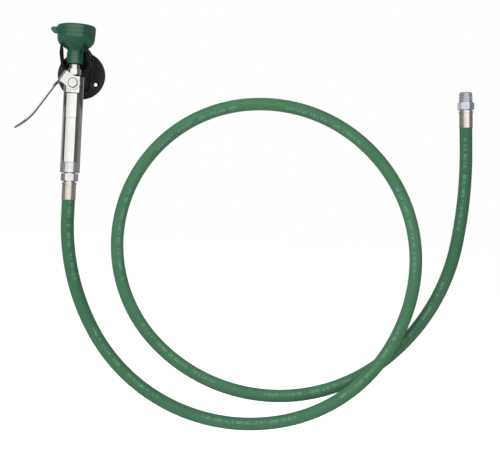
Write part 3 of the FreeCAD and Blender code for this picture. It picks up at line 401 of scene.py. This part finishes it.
def make_bracket(looks):
    """One moulding: every edge takes the soft radius of its mould."""
    rough = cad_copy("wall_bracket")
    finished = applied(
        rough,
        ("REMESH", {"mode": "VOXEL", "voxel_size": 0.0006, "use_smooth_shade": True}),
        ("SMOOTH", {"factor": 0.5, "iterations": 9}))
    piece = new_piece("bracket_moulding", finished, looks["bracket_plastic"])
    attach(piece, "bracket")
    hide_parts("wall_bracket")


def make_edged(looks):
    """Machined and moulded pieces with their edges broken: node, piece, look, slot, body, width."""
    for node, name, look, slot, body, width in (
        ("valve_body", "valve_body_bar", "chrome_brass", "chrome_brass", "handset", 0.0005),
        ("handle_sleeve", "handle_sleeve_bar", "chrome_brass", "chrome_brass", "handset", 0.0005),
        ("inlet_cap", "inlet_cap_bar", "satin_chrome", "chrome_brass", "handset", 0.0005),
        ("dust_cap", "dust_cap_moulding", "green_plastic", "green_plastic", "dust_cap", 0.0002),
        ("spray_head_shell", "spray_head_moulding", "green_plastic", "green_plastic", "handset", 0.0002),
    ):
        finished = applied(
            cad_copy(node),
            ("WELD", {"merge_threshold": 0.00001}),
            ("DECIMATE", {"decimate_type": "DISSOLVE", "angle_limit": math.radians(1.0)}),
            ("BEVEL", {"width": width, "segments": 1, "limit_method": "ANGLE",
                       "angle_limit": math.radians(35)}))
        piece = new_piece(name, finished, looks[look])
        finished.set_sharp_from_angle(angle=math.radians(24))
        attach(piece, body)
        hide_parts(node)


# ---------------------------------------------------------------- lever
def half_width(level):
    """Half the width of the lever's flat blank at a level along it, millimetres."""
    profile = [(-8.9, 11.6), (-9.6, 10.3), (-10.6, 9.0), (-12.0, 7.9), (-14.0, 6.9), (-17.0, 5.9),
               (-21.0, 5.1), (-48.0, 5.1), (-78.0, 6.5), (-84.0, 6.4), (-90.0, 5.9), (-95.0, 4.9),
               (-99.5, 3.7), (-103.0, 2.5), (-104.5, 1.6), (-105.1, 0.6)]
    for (upper, wide), (lower, narrow) in zip(profile, profile[1:]):
        if level >= lower:
            return wide + (narrow - wide) * min(1.0, (upper - level) / (upper - lower))
    return profile[-1][1]


def make_lever(looks):
    """Stamped sheet: a bowed web folded tightly into two cheeks, with the long handle curled away."""
    thick, reach, cheek = 1.8, 22.1, 9.8
    middle = reach - thick / 2
    bow, fold = 15.4, 1.3
    tilt = math.radians(37.06)
    web = bow * tilt
    fold_end = web + fold * (math.pi / 2 - tilt)
    straight, curl, foot = 62.0, 99.0 + thick / 2, 105.1
    half, eye, hole = 8.9, 10.5, 5.05
    shape = bmesh.new()

    def folded(u, v):
        """Where a point of the flat blank ends up."""
        side = 1 if u >= 0 else -1
        beyond = abs(u)
        lean = min(beyond / bow, tilt)
        bowed = smooth_step(1.0 + (v + half) / 11.0)
        out = -middle + bow * (1 - math.cos(lean)) * bowed
        across, level = side * bow * math.sin(lean), v
        if beyond > web:
            angle = min(tilt + (beyond - web) / fold, math.pi / 2)
            out += fold * (math.cos(tilt) - math.cos(angle))
            across += side * fold * (math.sin(angle) - math.sin(tilt))
        if v < -straight:
            turn = (-v - straight) / curl
            out -= curl * (1 - math.cos(turn))
            level = -straight - curl * math.sin(turn)
        return shape.verts.new((out, across, level))

    columns = [web * number / 8 for number in range(9)]
    columns += [web + (fold_end - web) * number / 4 for number in range(1, 5)]
    levels = [half, half / 2, 0.0, -half / 2, -half, -9.6, -10.6, -12.0, -14.0, -17.0, -21.0, -34.0, -48.0]
    levels += [-55.0, -straight]
    levels += [-straight - (foot - straight) * number / 22 for number in range(1, 23)]
    for side in (1, -1):
        rows = []
        for level in levels:
            if level >= -half:
                row = [side * u for u in columns]
            else:
                limit = min(fold_end, half_width(level))
                row = [side * limit * number / (len(columns) - 1) for number in range(len(columns))]
            rows.append([folded(u, level) for u in row])
        for upper, lower in zip(rows, rows[1:]):
            for number in range(len(columns) - 1):
                shape.faces.new((upper[number], upper[number + 1], lower[number + 1], lower[number]))

        # The cheek: a plate from the fold to the eye round the pivot, in two halves.
        edge = -middle + bow * (1 - math.cos(tilt)) + fold * math.cos(tilt)
        meet = math.asin(half / eye)
        for sign in (1, -1):
            points = [(edge, sign * half), (edge, sign * half / 2), (edge, 0.0), (-hole, 0.0)]
            points += [(-hole * math.cos(math.pi * step / 24), sign * hole * math.sin(math.pi * step / 24))
                       for step in range(1, 25)]
            spread = math.pi - meet
            points += [(eye * math.cos(spread * step / 30), sign * eye * math.sin(spread * step / 30))
                       for step in range(31)]
            shape.faces.new([shape.verts.new((out, side * cheek, level)) for out, level in points])
    bmesh.ops.remove_doubles(shape, verts=shape.verts, dist=0.001)
    bmesh.ops.recalc_face_normals(shape, faces=shape.faces)
    lean = Matrix.Rotation(math.radians(34.6), 4, "Y")
    shape.transform(AT_PIVOT @ lean @ Matrix.Scale(MM, 4))
    mesh_data = bpy.data.meshes.new("lever_sheet")
    shape.to_mesh(mesh_data)
    shape.free()
    finished = applied(
        mesh_data,
        ("SOLIDIFY", {"thickness": thick * MM, "offset": 0.0, "use_even_offset": True}),
        ("BEVEL", {"width": 0.0003, "segments": 2, "limit_method": "ANGLE",
                   "angle_limit": math.radians(50)}))
    piece = new_piece("lever_stamping", finished, looks["lever_steel"])
    for face in finished.polygons:
        face.use_smooth = abs(face.normal.y) < 0.999
    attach(piece, "lever")
    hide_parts("lever")


# ---------------------------------------------------------------- hose end fittings
HEX_TOP = 16.0           # top of a hose fitting's hexagon above the hose's end face, millimetres


def round_stack(levels, reach, bore, around=144):
    """Closed stack of rings: reach(level, angle) is its outside radius, with a plain bore inside."""
    shape = bmesh.new()
    angles = [TURN * spoke / around for spoke in range(around)]

    def ring(level, radius_at):
        return [shape.verts.new((radius_at(level, angle) * math.cos(angle),
                                 radius_at(level, angle) * math.sin(angle), level)) for angle in angles]

    rings = [ring(level, reach) for level in levels]
    rings += [ring(level, lambda *_: bore) for level in (levels[-1], levels[0])]
    rings.append(rings[0])
    for first, second in zip(rings, rings[1:]):
        for spoke in range(around):
            following = (spoke + 1) % around
            shape.faces.new((first[spoke], first[following], second[following], second[spoke]))
    bmesh.ops.recalc_face_normals(shape, faces=shape.faces)
    return shape


def fitting_reach(level, angle, thread_radius, thread_start, top, hex_turn):
    """Radius of a hose fitting at a level above the hose's end face, millimetres."""
    wall, neck_top = 3.0, 5.0
    flat = 11.1
    if level < wall:
        return 6.2
    if level < neck_top:
        return 8.5
    if level <= HEX_TOP:
        local = (math.degrees(angle) - hex_turn) % 60.0 - 30.0
        corner = flat / math.cos(math.radians(local))
        bevel = flat * 1.015 + min(level - neck_top, HEX_TOP - level) * 1.6
        return min(corner - 0.25 * max(0.0, abs(local) - 26.0) / 4.0, bevel)
    if level < thread_start:
        return thread_radius - 1.25
    pitch = 1.814
    cycle = ((level - pitch * angle / TURN) / pitch) % 1.0
    crest = min(1.0, max(0.0, 2.6 * abs(cycle - 0.5) - 0.15))
    run_in = min(1.0, max(0.0, (top - level) / 1.6))
    return thread_radius - 1.15 * (1.0 - crest) - 1.3 * (1.0 - run_in) - (level - HEX_TOP) / 32.0


def fitting_mesh(name, thread_radius, thread_length, gap, hex_turn, placement):
    """Barbed tail, hexagon and thread, with a gap between the hexagon and the thread's length."""
    top = HEX_TOP + gap + thread_length
    thread_start = HEX_TOP + gap + 0.9
    levels = [-22.0, -0.01, 2.99, 3.0, 4.99, 5.0]
    levels += [5.0 + step * 0.25 for step in range(1, 5)] + [7.0, 10.5, 14.0]
    levels += [15.0 + step * 0.25 for step in range(0, 5)] + [HEX_TOP + 0.01]
    step = 0.12
    threads = int((top - levels[-1]) / step)
    levels += [levels[-1] + step * number for number in range(1, threads)] + [top]

    def reach(level, angle):
        return fitting_reach(level, angle, thread_radius, thread_start, top, hex_turn)

    shape = round_stack(levels, reach, 4.5)
    shape.transform(placement @ Matrix.Scale(MM, 4))
    mesh_data = bpy.data.meshes.new(name)
    shape.to_mesh(mesh_data)
    shape.free()
    mesh_data.set_sharp_from_angle(angle=math.radians(32))
    return mesh_data


def adapter_reach(level, angle):
    """Radius of the hex nipple under the head at a level above the pivot, millimetres."""
    low, high, collar_top, flat = 12.1, 21.0, 27.1, 8.75
    if level < low:
        return 6.0
    if level <= high:
        local = math.degrees(angle) % 60.0 - 30.0
        bevel = flat * 1.03 + min(level - low, high - level) * 1.7
        return min(flat / math.cos(math.radians(local)) - 0.05 * max(0.0, abs(local) - 26.0), bevel)
    if level <= collar_top:
        return 8.2 - 0.35 * max(0.0, 1.0 - (collar_top - level) / 0.35)
    return 7.75


def make_adapter(looks):
    """The nipple between valve and head: a bright hexagon with its collar, and the threads above painted
    dark as the shade in the gap under the head.
    """
    lower = [5.8, 12.09, 12.1, 12.4, 12.8, 13.3, 16.5, 19.8, 20.3, 20.7, 21.0, 21.01, 26.75, 27.1]
    for name, levels, look, reach in (
        ("adapter_hex", lower, "chrome_brass", adapter_reach),
        # Painted shade: the threads take the dark steel look because the gap under the head is in shadow;
        # real threads are bright metal.
        ("adapter_threads", [27.1, 28.6, 39.95], "dark_steel", lambda level, angle: 7.85),
    ):
        shape = round_stack(levels, reach, 3.85)
        shape.transform(AT_PIVOT @ Matrix.Scale(MM, 4))
        mesh_data = bpy.data.meshes.new(name)
        shape.to_mesh(mesh_data)
        shape.free()
        piece = new_piece(name, mesh_data, looks[look])
        mesh_data.set_sharp_from_angle(angle=math.radians(32))
        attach(piece, "handset")
        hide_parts("outlet_adapter")


def make_fittings(looks):
    """Hex, neck and threads at both ends of the hose."""
    start = hose_start()
    mesh_data = fitting_mesh("valve_end_nipple", 9.0, 11.0, 1.4, 8.0, Matrix.Translation(start))
    piece = new_piece("valve_end_nipple", mesh_data, looks["satin_chrome"])
    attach(piece, "handset")
    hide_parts("valve_end_fitting")

    end = hose_line(start)[-1][0]
    lean = Matrix.Rotation(math.radians(-3.0), 4, "Y")
    mesh_data = fitting_mesh("inlet_nipple", 10.6, 15.5, 0.0, -18.0, Matrix.Translation(end) @ lean)
    piece = new_piece("inlet_nipple", mesh_data, looks["zinc_steel"])
    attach(piece, "handset")
    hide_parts("inlet_end_fitting")


def dress_cad_nodes(looks):
    """Gives every CAD node the material of its slot."""
    slots = {part["node"]: part["material_slot"] for part in frame["record"]["subparts"]}
    for name, thing in frame["nodes"].items():
        for place in thing.material_slots:
            place.material = looks[slots[name]]


# ---------------------------------------------------------------- stage, light and camera
def area_light(name, location, target, size, power):
    light = bpy.data.lights.new(name, "AREA")
    light.shape = "RECTANGLE"
    light.size, light.size_y = size
    light.energy = power
    holder = bpy.data.objects.new(name, light)
    holder.location = location
    holder.rotation_mode = "QUATERNION"
    holder.rotation_quaternion = (Vector(target) - Vector(location)).to_track_quat("-Z", "Y")
    holder.visible_glossy = False
    bpy.context.collection.objects.link(holder)


# What polished faces mirror, by compass angle from straight in front: a wide soft box ahead,
# dim sides, and a pale flat a little behind each side.
STUDIO_ROUND = [
    (-180, 0.16), (-152, 0.42), (-134, 0.46), (-130, 0.14), (-125, 0.05), (-75, 0.10), (-52, 0.12),
    (-46, 0.74), (-15.5, 0.84), (-11, 1.06), (20, 1.10), (45, 0.95), (51, 0.12), (75, 0.07),
    (103, 0.06), (109, 0.11), (113, 0.22), (120, 0.24), (126, 0.12), (150, 0.12), (180, 0.14),
]


def make_world():
    """White to the camera; polished faces see a studio instead."""
    world = bpy.data.worlds.new("studio")
    bpy.context.scene.world = world
    world.use_nodes = True
    tree = world.node_tree
    background = tree.nodes["Background"]

    def node(kind, inputs=None, **settings):
        made = tree.nodes.new(kind)
        for key, value in settings.items():
            setattr(made, key, value)
        for key, value in (inputs or {}).items():
            if isinstance(value, bpy.types.NodeSocket):
                tree.links.new(value, made.inputs[key])
            else:
                made.inputs[key].default_value = value
        return made

    parts = node("ShaderNodeSeparateXYZ", {0: node("ShaderNodeTexCoord").outputs["Generated"]})
    east, north, level = parts.outputs
    ahead = node("ShaderNodeMath", {0: north, 1: -1.0}, operation="MULTIPLY").outputs[0]
    angle = node("ShaderNodeMath", {0: east, 1: ahead}, operation="ARCTAN2").outputs[0]
    compass = node("ShaderNodeMapRange", {"Value": angle, "From Min": -math.pi, "From Max": math.pi})
    ramp = node("ShaderNodeValToRGB", {"Fac": compass.outputs[0]})
    stops = ramp.color_ramp.elements
    brightest = 1.2      # a ramp holds 0 to 1, so its strengths are divided by this and multiplied back
    for degrees, strength in STUDIO_ROUND:
        place = degrees / 360.0 + 0.5
        stop = stops[0] if place == 0.0 else stops[-1] if place == 1.0 else stops.new(place)
        stop.color = rgb(strength / brightest, strength / brightest, strength / brightest)
    above = node("ShaderNodeMapRange", {"Value": level, "From Min": 0.62, "From Max": 0.82,
                                        "To Min": brightest, "To Max": 0.35}).outputs[0]
    below = node("ShaderNodeMapRange", {"Value": level, "From Min": -0.45, "From Max": -0.25,
                                        "To Min": 0.25, "To Max": 1.0}).outputs[0]
    band = node("ShaderNodeMath", {0: above, 1: below}, operation="MULTIPLY").outputs[0]
    mirror = node("ShaderNodeMath", {0: ramp.outputs["Color"], 1: band}, operation="MULTIPLY").outputs[0]
    path = node("ShaderNodeLightPath")
    choose = node("ShaderNodeMix", {"Factor": path.outputs["Is Glossy Ray"], "A": 1.0, "B": mirror},
                  data_type="FLOAT")
    tree.links.new(choose.outputs["Result"], background.inputs["Strength"])
    background.inputs["Color"].default_value = (1.0, 1.0, 1.0, 1.0)


def make_stage():
    """Pale floor below the part, dull in reflections."""
    low, _ = CAD_BOX
    shape = bmesh.new()
    bmesh.ops.create_grid(shape, x_segments=4, y_segments=4, size=30.0)
    mesh_data = bpy.data.meshes.new("floor")
    shape.to_mesh(mesh_data)
    shape.free()
    floor = bpy.data.objects.new("floor", mesh_data)
    floor.location = (0.0, 0.0, low.z - 0.12)
    bpy.context.collection.objects.link(floor)
    look = Shader("pale_floor")
    tone = look.span(look.noise(3.0, 2.0), 0.0, 1.0)
    pale = look.mix(tone, rgb(0.93, 0.93, 0.93), rgb(0.96, 0.96, 0.96))
    mirrored = look.node("ShaderNodeLightPath").outputs["Is Glossy Ray"]
    look.set(Base_Color=look.mix(mirrored, pale, rgb(0.12, 0.12, 0.12)), Roughness=0.9)
    look.set(Emission_Color=rgb(1.0, 1.0, 1.0),
             Emission_Strength=look.span(mirrored, 0.15, 0.0, 0.0, 1.0))
    mesh_data.materials.append(look.material)


def make_camera():
    """Straight on from in front of the wall, rolled a little about its own axis."""
    roll = math.radians(2.76)
    camera = bpy.data.objects.new("camera", bpy.data.cameras.new("camera"))
    bpy.context.collection.objects.link(camera)
    camera.data.sensor_width = 36.0
    camera.data.lens = 75.8
    right = Vector((math.cos(roll), 0, math.sin(roll)))
    up = Vector((-math.sin(roll), 0, math.cos(roll)))
    back = Vector((0, -1, 0))
    turned = Matrix((right, up, back)).transposed().to_4x4()
    camera.matrix_world = Matrix.Translation((0.2663, -1.6, -0.21467)) @ turned
    bpy.context.scene.camera = camera


def make_lights():
    area_light("key", (-0.9, -1.7, 1.3), (0.1, 0, -0.1), (1.2, 1.2), 28.0)
    area_light("fill", (-1.6, -1.2, 0.2), (0.0, 0, -0.2), (1.0, 1.6), 8.0)
    area_light("rear", (0.2, 1.9, 1.2), (0.2, 0, -0.1), (1.6, 1.0), 14.0)


looks = materials()
make_hose(looks)
make_bracket(looks)
make_edged(looks)
make_lever(looks)
make_adapter(looks)
make_fittings(looks)
dress_cad_nodes(looks)
make_world()
make_stage()
make_lights()
make_camera()
bpy.context.scene.view_settings.view_transform = "Standard"
